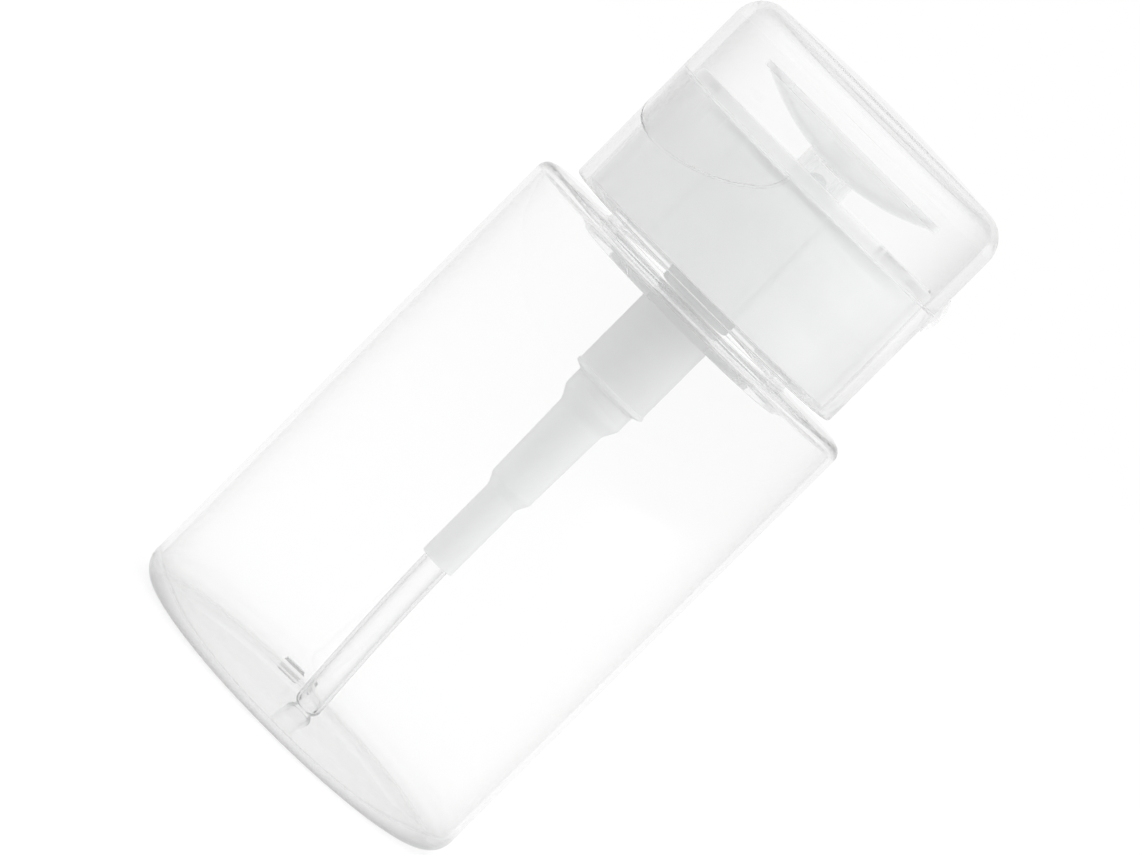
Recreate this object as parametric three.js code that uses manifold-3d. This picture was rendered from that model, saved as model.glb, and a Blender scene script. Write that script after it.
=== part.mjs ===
// Push-down pump bottle for nail polish remover or make-up remover: a clear cylindrical bottle, a white
// pump whose dish is pressed with a cotton pad, and a clear cap with a flip lid.
// Millimetres, +Z up. The origin is the centre of the base, on the surface the bottle stands on.
// The lid's thumb tab faces -Y and its hinge +Y.
import * as THREE from 'three';
import { mergeVertices } from 'three/addons/utils/BufferGeometryUtils.js';
import Module from 'manifold-3d';

// Clearances between neighbouring pieces
const seatGap = 0.2; // between faces that rest on each other
const fitGap = 0.15; // around a snug, fixed fit
const runGap = 0.3; // around a piece that slides or turns
const cutOverrun = 2; // how far every cutting body runs past the piece it cuts

// Bottle
const bottleRadius = 26;
const shoulderHeight = 72.1;
const bottleWall = 0.8;
const baseThickness = 0.8;
const basePushUp = 0.8;
const heelRadius = 3;
const contactRingWidth = 4;
const floorCornerRadius = 3;
const shoulderEdgeRadius = 1.7;
const shoulderSlope = 0.5; // how much lower the underside of the shoulder is at the neck
const neckBoreRadius = 13.4;
const neckWall = 1.85;
const neckEdgeRadius = 0.4;
const neckRingWidth = 1.25; // ring under the shoulder, around the neck
const neckRingDepth = 2.1;
const heelNotchWidth = 4.2; // at the level that the bottle stands on
const heelNotchTopWidth = 3.1;
const heelNotchHeight = 1.1;
const heelNotchDepth = 1.4;
const heelNotchDegrees = 152.2; // counter-clockwise from +X, seen from above

// Screw thread, shared by the bottle's neck and the collar
const threadPitch = 4.23;
const threadTurns = 1.5;
const threadDepth = 1;
const threadRootWidth = 1.7;
const threadCrestWidth = 0.8;
const threadStart = 4.4; // first turn above the shoulder
const threadTopSpace = 3.355; // from the last turn to the top of the neck
const threadClearance = 0.25;
const threadFadeSteps = 3; // steps over which each end fades out
const threadEndShare = 0.25; // of the full depth, left at each end

// Neck gasket
const gasketThickness = 0.8;
const gasketWidth = 1.6;
const gasketInset = 0.3; // from the neck's bore

// Pump housing, from its flange down to the dip tube socket
const flangeOverhang = 0.65; // past the neck
const flangeThickness = 1;
const cylinderWall = 0.9;
const cylinderLength = 30.5;
const lipHeight = 0.5;
const lipWidth = 0.15;
const shoulderStep = 0.95; // how much narrower the shoulder is than the cylinder
const shoulderLength = 2.5;
const shoulderTaper = 1.8;
const chamberSpace = 0.5; // around the inlet ball, at the bottom of its chamber
const chamberDraft = 0.25; // how much wider the chamber is at its top
const chamberWall = 0.75;
const chamberLength = 12.4;
const chamberTaper = 1.6;
const socketWall = 0.4;
const socketLength = 11.6;
const ventRadius = 0.5;
const ventBelowPistonTop = 1.2;

// Check valve balls
const inletBallRadius = 2;
const inletBallLift = 1.2;
const outletBallRadius = 1.6;
const outletSeatRadius = 1.15;

// Ball stop, which keeps the inlet ball down in its chamber
const ballStopWall = 0.8;
const ballStopFlangeThickness = 0.8;
const ballStopSlotWidth = 0.9;
const ballStopSlotHeight = 1.6;

// Dip tube
const dipTubeRadius = 1.9;
const dipTubeWall = 0.45;
const dipTubeBend = 1.2; // sideways drift of its lower end
const dipTubeBendDegrees = 54; // direction of that drift, counter-clockwise from +X
const dipTubeNotchDepth = 1;
const dipTubeSteps = 9;

// Stem guide, pressed into the top of the housing
const guideFlangeRadius = 7;
const guideFlangeThickness = 0.8;
const guideWall = 0.35; // around the sleeve
const guideLength = 9.4;
const stemSealThickness = 1.1;
const stemSealWidth = 0.85;

// Stem, rod and piston
const stemRadius = 2.75;
const stemBoreRadius = 1.4;
const stemCheckDepth = 3.8; // pocket for the outlet ball in the top of the stem
const stemPortRadius = 0.6;
const pistonLength = 4.7;
const pistonLip = 0.4;
const pistonWaist = 0.6;
const rodRadius = 1.1;
const rodShankLength = 8;
const rodFlangeThickness = 0.8;
const pressTravel = 3.6;

// Return spring
const springWireRadius = 0.3;
const springTurns = 8;
const springClosedTurns = 1; // at each end
const springStepsPerTurn = 8;
const springWireSides = 5;

// Press dish, its sleeve and its outlet hub
const dishGap = 1.7; // between the dish and the deck's rim
const dishAboveDeck = 4.9;
const dishThickness = 0.9;
const dishRimWidth = 1.1;
const dishRimHeight = 0.87;
const dishDepth = 4; // from the rim's top to the lowest point of the underside
const dishLedge = 0.8;
const dishHoleRadius = 1.6;
const sleeveWall = 0.85;
const sleeveLength = 7.5;
const hubOverlap = 0.7; // past the hole, all round
const hubHeight = 1.6;
const hubEdgeRadius = 0.3;
const hubSlotWidth = 0.8;
const hubSlotHeight = 0.5;
const hubCoreRadius = 0.7; // left whole between the slots

// Threaded collar
const collarWall = 1.2;
const collarPlateThickness = 1.2;
const collarAboveShoulder = 2.5;
const collarBead = 0.6; // snap bead under the housing's flange

// White deck shell over the collar
const shellSpace = 1.2; // between the collar and the shell's wall, bridged by ribs
const shellWall = 1.2;
const deckThickness = 1.2;
const rimHeight = 2.6;
const rimWidth = 3.5;
const shellEdgeRadius = 0.5;
const shellRibCount = 8;
const shellRibWidth = 1;

// Clear outer skirt
const skirtGap = 0.4; // around the shell
const skirtWall = 1.5;
const skirtAboveShoulder = 1.3;
const skirtEdgeRadius = 0.4;

// Flip lid, its thumb tab and its hinge
const lidHeight = 14.6;
const lidOverlap = 1.9; // how far the deck's rim stands above the parting line
const lidTopThickness = 1;
const lidDome = 0.8;
const lidCornerRadius = 4.35;
const partingGap = 0.3;
const tabHalfWidth = 15.9;
const tabDepth = 8.65;
const tabThickness = 0.55;
const strapWidth = 15.6;
const strapHeight = 5.4;
const strapBulge = 1;
const strapThickness = 0.5;
const strapFoot = 1.5; // flat length glued to each pad
const padInset = 0.2; // how far the pads' faces lie inside the skirt's surface

// Smoothness
const capSides = 40;
const pumpSides = 20;
const arcSteps = 3;
const domeSteps = 4;
const threadStepsPerTurn = 20;
const ballSides = 12;
const ballRings = 8;

// Heights above the base, from the bottom up
const shoulderUnderside = shoulderHeight - bottleWall;
const floorHeight = basePushUp + baseThickness;
const neckTop = shoulderHeight + threadStart + threadTurns * threadPitch + threadTopSpace;
const gasketBottom = neckTop + seatGap;
const gasketTop = gasketBottom + gasketThickness;
const flangeBottom = gasketTop + seatGap;
const flangeTop = flangeBottom + flangeThickness;
const collarPlateBottom = flangeTop + seatGap;
const collarPlateTop = collarPlateBottom + collarPlateThickness;
const deckBottom = collarPlateTop + seatGap;
const deckTop = deckBottom + deckThickness;
const rimTop = deckTop + rimHeight;
const partingHeight = rimTop - lidOverlap;
const lidTop = partingHeight + lidHeight;
const skirtBottom = shoulderHeight + skirtAboveShoulder;
const collarBottom = shoulderHeight + collarAboveShoulder;
const dishBottom = deckTop + dishAboveDeck;
const dishTop = dishBottom + dishDepth;
const sleeveBottom = dishBottom - sleeveLength;
const guideTop = flangeTop + seatGap + guideFlangeThickness;
const guideBottom = guideTop - guideLength;
const pistonTop = guideBottom - seatGap;
const pistonBottom = pistonTop - pistonLength;
const rodFlangeTop = pistonBottom - seatGap;
const rodFlangeBottom = rodFlangeTop - rodFlangeThickness;
const stemTop = dishBottom - seatGap;
const outletSeatHeight = stemTop - stemCheckDepth;
const cylinderBottom = flangeBottom - cylinderLength;
const springSeatHeight = cylinderBottom + lipHeight;
const shoulderBottom = cylinderBottom - lipHeight - shoulderLength;
const chamberTop = shoulderBottom - shoulderTaper;
const chamberBottom = chamberTop - chamberLength;
const socketTop = chamberBottom - chamberTaper;
const socketBottom = socketTop - socketLength;
const inletSeatHeight = chamberBottom - chamberWall;

// Radii that follow from the sizes above
const bottleBoreRadius = bottleRadius - bottleWall;
const neckRadius = neckBoreRadius + neckWall;
const neckRingRadius = neckRadius + neckRingWidth;
const gasketBoreRadius = neckBoreRadius + gasketInset;
const gasketRadius = gasketBoreRadius + gasketWidth;
const flangeRadius = neckRadius + flangeOverhang;
const sleeveBoreRadius = stemRadius + fitGap;
const sleeveRadius = sleeveBoreRadius + sleeveWall;
const guideCounterboreRadius = sleeveRadius + runGap;
const guideBoreRadius = stemRadius + runGap;
const guideRadius = guideCounterboreRadius + guideWall;
const cylinderBoreRadius = guideRadius + fitGap;
const cylinderRadius = cylinderBoreRadius + cylinderWall;
const shoulderRadius = cylinderRadius - shoulderStep;
const shoulderBoreRadius = shoulderRadius - cylinderWall;
const chamberBoreBottomRadius = inletBallRadius + chamberSpace;
const chamberBottomRadius = chamberBoreBottomRadius + chamberWall;
const chamberBoreTopRadius = chamberBoreBottomRadius + chamberDraft;
const chamberTopRadius = chamberBoreTopRadius + chamberWall;
const inletSeatRadius = dipTubeRadius - dipTubeWall;
const socketBoreRadius = dipTubeRadius + fitGap;
const socketRadius = socketBoreRadius + socketWall;
const ballStopTubeRadius = chamberBoreBottomRadius - seatGap;
const ballStopBoreRadius = ballStopTubeRadius - ballStopWall;
const collarBoreRadius = neckRadius + threadDepth + threadClearance;
const collarRadius = collarBoreRadius + collarWall;
const shellRadius = collarRadius + shellSpace + shellWall;
const rimInnerRadius = shellRadius - rimWidth;
const dishRadius = rimInnerRadius - dishGap;
const dishMouthRadius = dishRadius - dishRimWidth;
const hubRadius = dishHoleRadius + hubOverlap;
const skirtBoreRadius = shellRadius + skirtGap;
const skirtRadius = skirtBoreRadius + skirtWall;
const padFace = skirtRadius - padInset;

// Radii of the dish's two spherical faces
const dishHollow = dishDepth - dishThickness;
const dishTopSphere = (dishMouthRadius ** 2 + dishHollow ** 2) / (2 * dishHollow);
const dishSphereRadius = dishTopSphere + dishThickness;

const wasm = await Module();
wasm.setup();

// Geometry helpers

const degrees = (angle) => THREE.MathUtils.degToRad(angle);

// Rounds the corners of a closed outline. Each corner is [x, y] or [x, y, radius].
function rounded(corners) {
  const points = [];
  corners.forEach(([x, y, radius = 0], index) => {
    const corner = new THREE.Vector2(x, y);
    if (radius === 0) {
      points.push(corner);
      return;
    }
    const before = corners[(index + corners.length - 1) % corners.length];
    const after = corners[(index + 1) % corners.length];
    const toBefore = new THREE.Vector2(before[0], before[1]).sub(corner).normalize();
    const toAfter = new THREE.Vector2(after[0], after[1]).sub(corner).normalize();
    const halfAngle = Math.acos(toBefore.dot(toAfter)) / 2;
    const bisector = toBefore.clone().add(toAfter).normalize();
    const centre = corner.clone().addScaledVector(bisector, radius / Math.sin(halfAngle));
    const reach = radius / Math.tan(halfAngle);
    const spoke = corner.clone().addScaledVector(toBefore, reach).sub(centre);
    const lastSpoke = corner.clone().addScaledVector(toAfter, reach).sub(centre);
    const sweep = Math.atan2(spoke.cross(lastSpoke), spoke.dot(lastSpoke));
    for (let step = 0; step <= arcSteps; step += 1) {
      points.push(spoke.clone().rotateAround(new THREE.Vector2(), (sweep * step) / arcSteps).add(centre));
    }
  });
  return points;
}

// Corners of a shallow dome from its apex on the axis out to an edge `radius` away, `rise` lower.
// A negative rise makes a hollow.
function dome(apexHeight, radius, rise) {
  return Array.from({ length: domeSteps + 1 }, (_, step) => {
    const share = step / domeSteps;
    return [radius * share, apexHeight - rise * share * share];
  });
}

// Height of a spherical surface above its lowest point, at a distance from the axis.
const sphereRise = (sphereRadius, radius) => sphereRadius - Math.sqrt(sphereRadius ** 2 - radius ** 2);

// Corners along a bowl's surface between two distances from the axis.
function bowl(lowestHeight, sphereRadius, fromRadius, toRadius) {
  return Array.from({ length: domeSteps + 1 }, (_, step) => {
    const radius = THREE.MathUtils.lerp(fromRadius, toRadius, step / domeSteps);
    return [radius, lowestHeight + sphereRise(sphereRadius, radius)];
  });
}

// Turns a [radius, height] outline about the Z axis. An outline that starts and ends on the axis stays
// open there; any other is closed on itself.
function lathe(corners, sides) {
  const outline = rounded(corners);
  if (THREE.ShapeUtils.area(outline) < 0) outline.reverse();
  const onAxis = outline.some((point) => point.x === 0);
  if (onAxis) {
    while (outline[0].x !== 0 || outline.at(-1).x !== 0) outline.push(outline.shift());
  } else {
    outline.push(outline[0].clone());
  }
  return new THREE.LatheGeometry(outline, sides).rotateX(Math.PI / 2);
}

const ring = (innerRadius, outerRadius, bottom, top, sides) =>
  lathe([[innerRadius, bottom], [outerRadius, bottom], [outerRadius, top], [innerRadius, top]], sides);

const box = (width, depth, height, x, y, z) => new THREE.BoxGeometry(width, depth, height).translate(x, y, z);

// Sweeps a loop of points along a path. `pointAt(step, corner)` gives each point; the ends are closed flat.
function sweep(steps, cornerCount, pointAt) {
  const positions = [];
  for (let step = 0; step <= steps; step += 1) {
    for (let corner = 0; corner < cornerCount; corner += 1) {
      positions.push(...pointAt(step, corner).toArray());
    }
  }
  const indices = [];
  const vertex = (step, corner) => step * cornerCount + (corner % cornerCount);
  for (let step = 0; step < steps; step += 1) {
    for (let corner = 0; corner < cornerCount; corner += 1) {
      const [a, b] = [vertex(step, corner), vertex(step, corner + 1)];
      const [c, d] = [vertex(step + 1, corner + 1), vertex(step + 1, corner)];
      indices.push(a, b, c, a, c, d);
    }
  }
  for (let corner = 1; corner < cornerCount - 1; corner += 1) {
    indices.push(vertex(0, 0), vertex(0, corner + 1), vertex(0, corner));
    indices.push(vertex(steps, 0), vertex(steps, corner), vertex(steps, corner + 1));
  }
  const geometry = new THREE.BufferGeometry();
  geometry.setAttribute('position', new THREE.Float32BufferAttribute(positions, 3));
  geometry.setIndex(indices);
  return geometry;
}

// A screw thread's ridge: its root on one radius, its crest on another, fading in and out at its ends.
function threadRidge(rootRadius, crestRadius, startHeight) {
  const steps = Math.round(threadTurns * threadStepsPerTurn);
  const outward = Math.sign(crestRadius - rootRadius);
  const section = [
    [0, -threadRootWidth / 2],
    [1, -threadCrestWidth / 2],
    [1, threadCrestWidth / 2],
    [0, threadRootWidth / 2],
  ];
  if (outward > 0) section.reverse();
  return sweep(steps, section.length, (step, corner) => {
    const angle = (2 * Math.PI * step) / threadStepsPerTurn;
    const fade = Math.min(1, step / threadFadeSteps, (steps - step) / threadFadeSteps);
    const [depthShare, offset] = section[corner];
    const radius = rootRadius + (crestRadius - rootRadius) * depthShare * Math.max(fade, threadEndShare);
    const height = startHeight + (threadPitch * angle) / (2 * Math.PI) + offset;
    return new THREE.Vector3(radius * Math.cos(angle), radius * Math.sin(angle), height);
  });
}

// Closed mesh as a solid for cutting and joining
function solid(geometry) {
  const bare = geometry.clone();
  bare.deleteAttribute('normal');
  bare.deleteAttribute('uv');
  const merged = mergeVertices(bare);
  const index = merged.index.array;
  const triangles = [];
  for (let i = 0; i < index.length; i += 3) {
    const [a, b, c] = [index[i], index[i + 1], index[i + 2]];
    if (a !== b && b !== c && c !== a) triangles.push(a, b, c);
  }
  return new wasm.Manifold(
    new wasm.Mesh({
      numProp: 3,
      vertProperties: new Float32Array(merged.attributes.position.array),
      triVerts: new Uint32Array(triangles),
    }),
  );
}

// Solid back to a mesh's geometry
function geometryOf(body) {
  const mesh = body.getMesh();
  const geometry = new THREE.BufferGeometry();
  geometry.setAttribute('position', new THREE.BufferAttribute(mesh.vertProperties, mesh.numProp));
  geometry.setIndex(new THREE.BufferAttribute(mesh.triVerts, 1));
  return geometry;
}

// Materials

function plastic(color, roughness, opacity = 1) {
  const transparent = opacity < 1;
  return new THREE.MeshStandardMaterial({ color, roughness, metalness: 0, opacity, transparent });
}

const clearPlastic = () => plastic(0xf7f9fa, 0.06, 0.35);
const whitePlastic = () => plastic(0xe9eaea, 0.38);
const sealPlastic = () => plastic(0xf2f2ee, 0.6);
const glass = () => plastic(0xdfe8e6, 0.05, 0.5);
const springSteel = () => new THREE.MeshStandardMaterial({ color: 0xb8babd, roughness: 0.3, metalness: 1 });

const group = new THREE.Group();

function add(name, geometry, finish) {
  const mesh = new THREE.Mesh(geometryOf(solid(geometry)), finish);
  mesh.name = name;
  group.add(mesh);
}

// Bottle: base with a shallow push-up, straight wall, flat shoulder and threaded neck

function bottle() {
  const contactRadius = bottleRadius - heelRadius;
  const outline = [
    ...dome(basePushUp, contactRadius - contactRingWidth, basePushUp),
    [bottleRadius, 0, heelRadius],
    [bottleRadius, shoulderHeight, shoulderEdgeRadius],
    [neckRadius, shoulderHeight],
    [neckRadius, neckTop, neckEdgeRadius],
    [neckBoreRadius, neckTop, neckEdgeRadius],
    [neckBoreRadius, shoulderUnderside - neckRingDepth],
    [neckRingRadius, shoulderUnderside - neckRingDepth],
    [neckRingRadius + neckRingDepth / 2, shoulderUnderside - shoulderSlope],
    [bottleBoreRadius, shoulderUnderside, shoulderEdgeRadius - bottleWall],
    [bottleBoreRadius, baseThickness, floorCornerRadius],
    ...dome(floorHeight, contactRadius - contactRingWidth, basePushUp).reverse(),
  ];
  const threadBottom = shoulderHeight + threadStart;
  const ridge = threadRidge(neckRadius - neckEdgeRadius, neckRadius + threadDepth, threadBottom);
  return geometryOf(solid(lathe(outline, capSides)).add(solid(ridge)).subtract(solid(heelNotch())));
}

// Small notch under the heel, narrower towards its top, which lines the bottle up while it is filled
function heelNotch() {
  const outline = new THREE.Shape();
  outline.moveTo(-heelNotchWidth / 2, -cutOverrun);
  outline.lineTo(heelNotchWidth / 2, -cutOverrun);
  outline.lineTo(heelNotchWidth / 2, 0);
  outline.lineTo(heelNotchTopWidth / 2, heelNotchHeight);
  outline.lineTo(-heelNotchTopWidth / 2, heelNotchHeight);
  outline.lineTo(-heelNotchWidth / 2, 0);
  const depth = heelNotchDepth + cutOverrun;
  return new THREE.ExtrudeGeometry(outline, { depth, bevelEnabled: false })
    .rotateX(Math.PI / 2)
    .rotateZ(Math.PI / 2)
    .translate(bottleRadius - heelNotchDepth, 0, 0)
    .rotateZ(degrees(heelNotchDegrees));
}

// Pump: gasket, housing, valve parts and dip tube

function housing() {
  const outline = [
    [flangeRadius, flangeTop],
    [cylinderBoreRadius, flangeTop],
    [cylinderBoreRadius, springSeatHeight],
    [shoulderBoreRadius, springSeatHeight],
    [shoulderBoreRadius, shoulderBottom],
    [chamberBoreTopRadius, chamberTop],
    [chamberBoreBottomRadius, chamberBottom],
    [inletSeatRadius, inletSeatHeight],
    [inletSeatRadius, socketTop],
    [socketBoreRadius, socketTop],
    [socketBoreRadius, socketBottom],
    [socketRadius, socketBottom],
    [socketRadius, socketTop],
    [chamberBottomRadius, chamberBottom],
    [chamberTopRadius, chamberTop],
    [shoulderRadius, shoulderBottom],
    [shoulderRadius, cylinderBottom - lipHeight],
    [cylinderRadius + lipWidth, cylinderBottom],
    [cylinderRadius + lipWidth, cylinderBottom + lipHeight],
    [cylinderRadius, cylinderBottom + lipHeight],
    [cylinderRadius, flangeBottom],
    [flangeRadius, flangeBottom],
  ];
  const vent = new THREE.CylinderGeometry(ventRadius, ventRadius, cylinderRadius + cutOverrun, ballRings)
    .rotateZ(Math.PI / 2)
    .translate((cylinderRadius + cutOverrun) / 2, 0, pistonTop - ventBelowPistonTop);
  return geometryOf(solid(lathe(outline, pumpSides)).subtract(solid(vent)));
}

// How high a ball's centre sits above the round edge that it rests on
const seatedRise = (ballRadius, seatRadius) => Math.sqrt(ballRadius ** 2 - seatRadius ** 2);

// A ball a little above its seat, because a faceted ball and a faceted seat never meet all round
const ball = (radius, seatRadius, seatHeight) =>
  new THREE.SphereGeometry(radius, ballSides, ballRings)
    .rotateX(Math.PI / 2)
    .translate(0, 0, seatHeight + seatedRise(radius, seatRadius) + seatGap);

function ballStop() {
  const raisedBall = inletSeatHeight + seatedRise(inletBallRadius, inletSeatRadius) + seatGap + inletBallLift;
  const bottom = raisedBall + seatedRise(inletBallRadius, ballStopBoreRadius) + seatGap;
  const flangeBase = shoulderBottom + seatGap;
  const flangeTopHeight = flangeBase + ballStopFlangeThickness;
  const outline = [
    [ballStopBoreRadius, bottom],
    [ballStopTubeRadius, bottom],
    [ballStopTubeRadius, flangeBase],
    [shoulderBoreRadius - fitGap, flangeBase],
    [shoulderBoreRadius - fitGap, flangeTopHeight],
    [ballStopBoreRadius, flangeTopHeight],
  ];
  const slot = box(2 * chamberTopRadius, ballStopSlotWidth, ballStopSlotHeight, 0, 0, bottom);
  const crossSlot = slot.clone().rotateZ(Math.PI / 2);
  return geometryOf(solid(lathe(outline, pumpSides)).subtract(solid(slot)).subtract(solid(crossSlot)));
}

// Tube that leaves the socket straight, drifts sideways and ends in a notch just above the floor
function dipTube() {
  const top = socketTop - seatGap;
  const bottom = floorHeight + seatGap;
  const lean = new THREE.Vector3(dipTubeBend, 0, 0);
  const dropShares = [0, 0.35, 0.6, 0.8, 1];
  const leanShares = [0, 0, 0.28, 0.62, 1];
  const points = dropShares.map((dropShare, index) => {
    const onAxis = new THREE.Vector3(0, 0, THREE.MathUtils.lerp(top, bottom, dropShare));
    return onAxis.addScaledVector(lean, leanShares[index]);
  });
  const path = new THREE.CatmullRomCurve3(points);
  const section = new THREE.Shape().absarc(0, 0, dipTubeRadius, 0, 2 * Math.PI);
  section.holes.push(new THREE.Path().absarc(0, 0, dipTubeRadius - dipTubeWall, 0, 2 * Math.PI));
  const tube = new THREE.ExtrudeGeometry(section, {
    steps: dipTubeSteps,
    curveSegments: ballSides,
    extrudePath: path,
  });
  const notchShape = new THREE.Shape([
    new THREE.Vector2(-dipTubeRadius - dipTubeNotchDepth, bottom - 2 * dipTubeNotchDepth),
    new THREE.Vector2(dipTubeRadius + dipTubeNotchDepth, bottom - 2 * dipTubeNotchDepth),
    new THREE.Vector2(0, bottom + dipTubeNotchDepth),
  ]);
  const notchLength = 4 * dipTubeRadius;
  const notch = new THREE.ExtrudeGeometry(notchShape, { depth: notchLength, bevelEnabled: false })
    .translate(0, 0, -notchLength / 2)
    .rotateX(Math.PI / 2)
    .rotateZ(Math.PI / 2)
    .translate(dipTubeBend, 0, 0);
  return geometryOf(solid(tube).subtract(solid(notch))).rotateZ(degrees(dipTubeBendDegrees));
}

function stemGuide() {
  const counterboreFloor = sleeveBottom - pressTravel - 2 * seatGap;
  const sealPocketRadius = guideBoreRadius + stemSealWidth;
  return lathe(
    [
      [guideRadius, guideBottom],
      [guideRadius, guideTop - guideFlangeThickness],
      [guideFlangeRadius, guideTop - guideFlangeThickness],
      [guideFlangeRadius, guideTop],
      [guideCounterboreRadius, guideTop],
      [guideCounterboreRadius, counterboreFloor],
      [guideBoreRadius, counterboreFloor],
      [guideBoreRadius, guideBottom + stemSealThickness],
      [sealPocketRadius, guideBottom + stemSealThickness],
      [sealPocketRadius, guideBottom],
    ],
    pumpSides,
  );
}

const stemSeal = () =>
  ring(
    stemRadius + fitGap,
    guideBoreRadius + stemSealWidth - fitGap,
    guideBottom,
    guideBottom + stemSealThickness - seatGap,
    pumpSides,
  );

// Closed end turns lie flat, the others rise evenly between them.
function returnSpring() {
  const bottom = springSeatHeight + seatGap + springWireRadius;
  const top = rodFlangeBottom - seatGap - springWireRadius;
  const coilRadius = (shoulderBoreRadius + cylinderBoreRadius) / 2;
  const closedRise = (2 * springWireRadius + seatGap) * springClosedTurns;
  const activeTurns = springTurns - 2 * springClosedTurns;
  const heightAt = (turn) => {
    const turnsLeft = springTurns - turn;
    if (turn < springClosedTurns) return bottom + (closedRise * turn) / springClosedTurns;
    if (turnsLeft < springClosedTurns) return top - (closedRise * turnsLeft) / springClosedTurns;
    const share = (turn - springClosedTurns) / activeTurns;
    return THREE.MathUtils.lerp(bottom + closedRise, top - closedRise, share);
  };
  return sweep(springTurns * springStepsPerTurn, springWireSides, (step, corner) => {
    const turn = step / springStepsPerTurn;
    const angle = 2 * Math.PI * turn;
    const around = (2 * Math.PI * corner) / springWireSides;
    const radius = coilRadius - springWireRadius * Math.cos(around);
    const height = heightAt(turn) + springWireRadius * Math.sin(around);
    return new THREE.Vector3(radius * Math.cos(angle), radius * Math.sin(angle), height);
  });
}

// Parts that travel with the dish

function stem() {
  const pocketRadius = (stemBoreRadius + stemRadius) / 2;
  const outline = [
    [stemRadius, pistonBottom],
    [stemRadius, stemTop],
    [pocketRadius, stemTop],
    [pocketRadius, outletSeatHeight],
    [outletSeatRadius, outletSeatHeight],
    [outletSeatRadius, outletSeatHeight - outletBallRadius],
    [stemBoreRadius, outletSeatHeight - outletBallRadius],
    [stemBoreRadius, pistonBottom],
  ];
  const portLength = 2 * stemRadius + cutOverrun;
  const port = new THREE.CylinderGeometry(stemPortRadius, stemPortRadius, portLength, ballRings)
    .rotateZ(Math.PI / 2)
    .translate(0, 0, pistonBottom + 2 * stemPortRadius);
  return geometryOf(solid(lathe(outline, pumpSides)).subtract(solid(port)));
}

// Rod with a flange that carries the piston and takes the spring
const rod = () =>
  lathe(
    [
      [0, rodFlangeBottom],
      [cylinderBoreRadius - runGap, rodFlangeBottom],
      [cylinderBoreRadius - runGap, rodFlangeTop],
      [rodRadius, rodFlangeTop],
      [rodRadius, rodFlangeTop + rodShankLength],
      [0, rodFlangeTop + rodShankLength],
    ],
    pumpSides,
  );

// Hourglass seal with a lip at each end
function piston() {
  const bore = stemRadius + fitGap;
  const lipRadius = cylinderBoreRadius - fitGap;
  const waist = bore + pistonWaist;
  return lathe(
    [
      [bore, pistonBottom],
      [lipRadius - pistonLip, pistonBottom],
      [lipRadius, pistonBottom + pistonLip],
      [waist, pistonBottom + pistonLength / 3],
      [waist, pistonTop - pistonLength / 3],
      [lipRadius, pistonTop - pistonLip],
      [lipRadius - pistonLip, pistonTop],
      [bore, pistonTop],
    ],
    pumpSides,
  );
}

function dish() {
  const ledgeRadius = dishRadius - dishLedge;
  return lathe(
    [
      [dishHoleRadius, dishBottom],
      ...bowl(dishBottom + dishThickness, dishTopSphere, dishHoleRadius, dishMouthRadius),
      [dishRadius, dishTop],
      [dishRadius, dishTop - dishRimHeight],
      ...bowl(dishBottom, dishSphereRadius, sleeveRadius, ledgeRadius).reverse(),
      [sleeveRadius, sleeveBottom],
      [sleeveBoreRadius, sleeveBottom],
      [sleeveBoreRadius, dishBottom],
    ],
    capSides,
  );
}

// Outlet hub: a button over the dish's hole, with crossed slots under its head for the liquid
function hub() {
  const headBottom = dishBottom + dishThickness + seatGap;
  const stalkBottom = dishBottom - seatGap / 2;
  const outline = [
    [0, stalkBottom],
    [dishHoleRadius - fitGap, stalkBottom],
    [dishHoleRadius - fitGap, headBottom],
    [hubRadius, headBottom],
    [hubRadius, headBottom + hubHeight, hubEdgeRadius],
    [0, headBottom + hubHeight],
  ];
  const slotTop = headBottom + hubSlotHeight;
  const slotHeight = slotTop - stalkBottom + cutOverrun;
  const reach = 2 * hubRadius + cutOverrun;
  const slotCentre = hubCoreRadius + reach / 2;
  const slot = box(reach, hubSlotWidth, slotHeight, slotCentre, 0, slotTop - slotHeight / 2);
  const slots = [0, 1, 2, 3].map((quarter) => solid(slot.clone().rotateZ((quarter * Math.PI) / 2)));
  return geometryOf(slots.reduce((body, cut) => body.subtract(cut), solid(lathe(outline, pumpSides))));
}

// Closure: threaded collar, white deck shell and clear skirt

function collar() {
  const beadTop = flangeBottom - seatGap;
  const beadRadius = collarBoreRadius - collarBead - threadClearance;
  const outline = [
    [collarRadius, collarBottom],
    [collarRadius, collarPlateTop],
    [guideFlangeRadius + runGap, collarPlateTop],
    [guideFlangeRadius + runGap, collarPlateBottom],
    [collarBoreRadius, collarPlateBottom],
    [collarBoreRadius, beadTop],
    [beadRadius, beadTop],
    [beadRadius, beadTop - collarBead],
    [collarBoreRadius, beadTop - 2 * collarBead],
    [collarBoreRadius, collarBottom],
  ];
  const start = shoulderHeight + threadStart + threadPitch / 2;
  const crest = neckRadius + threadClearance;
  const ridge = threadRidge(collarBoreRadius + neckEdgeRadius, crest, start);
  return geometryOf(solid(lathe(outline, capSides)).add(solid(ridge)));
}

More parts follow.
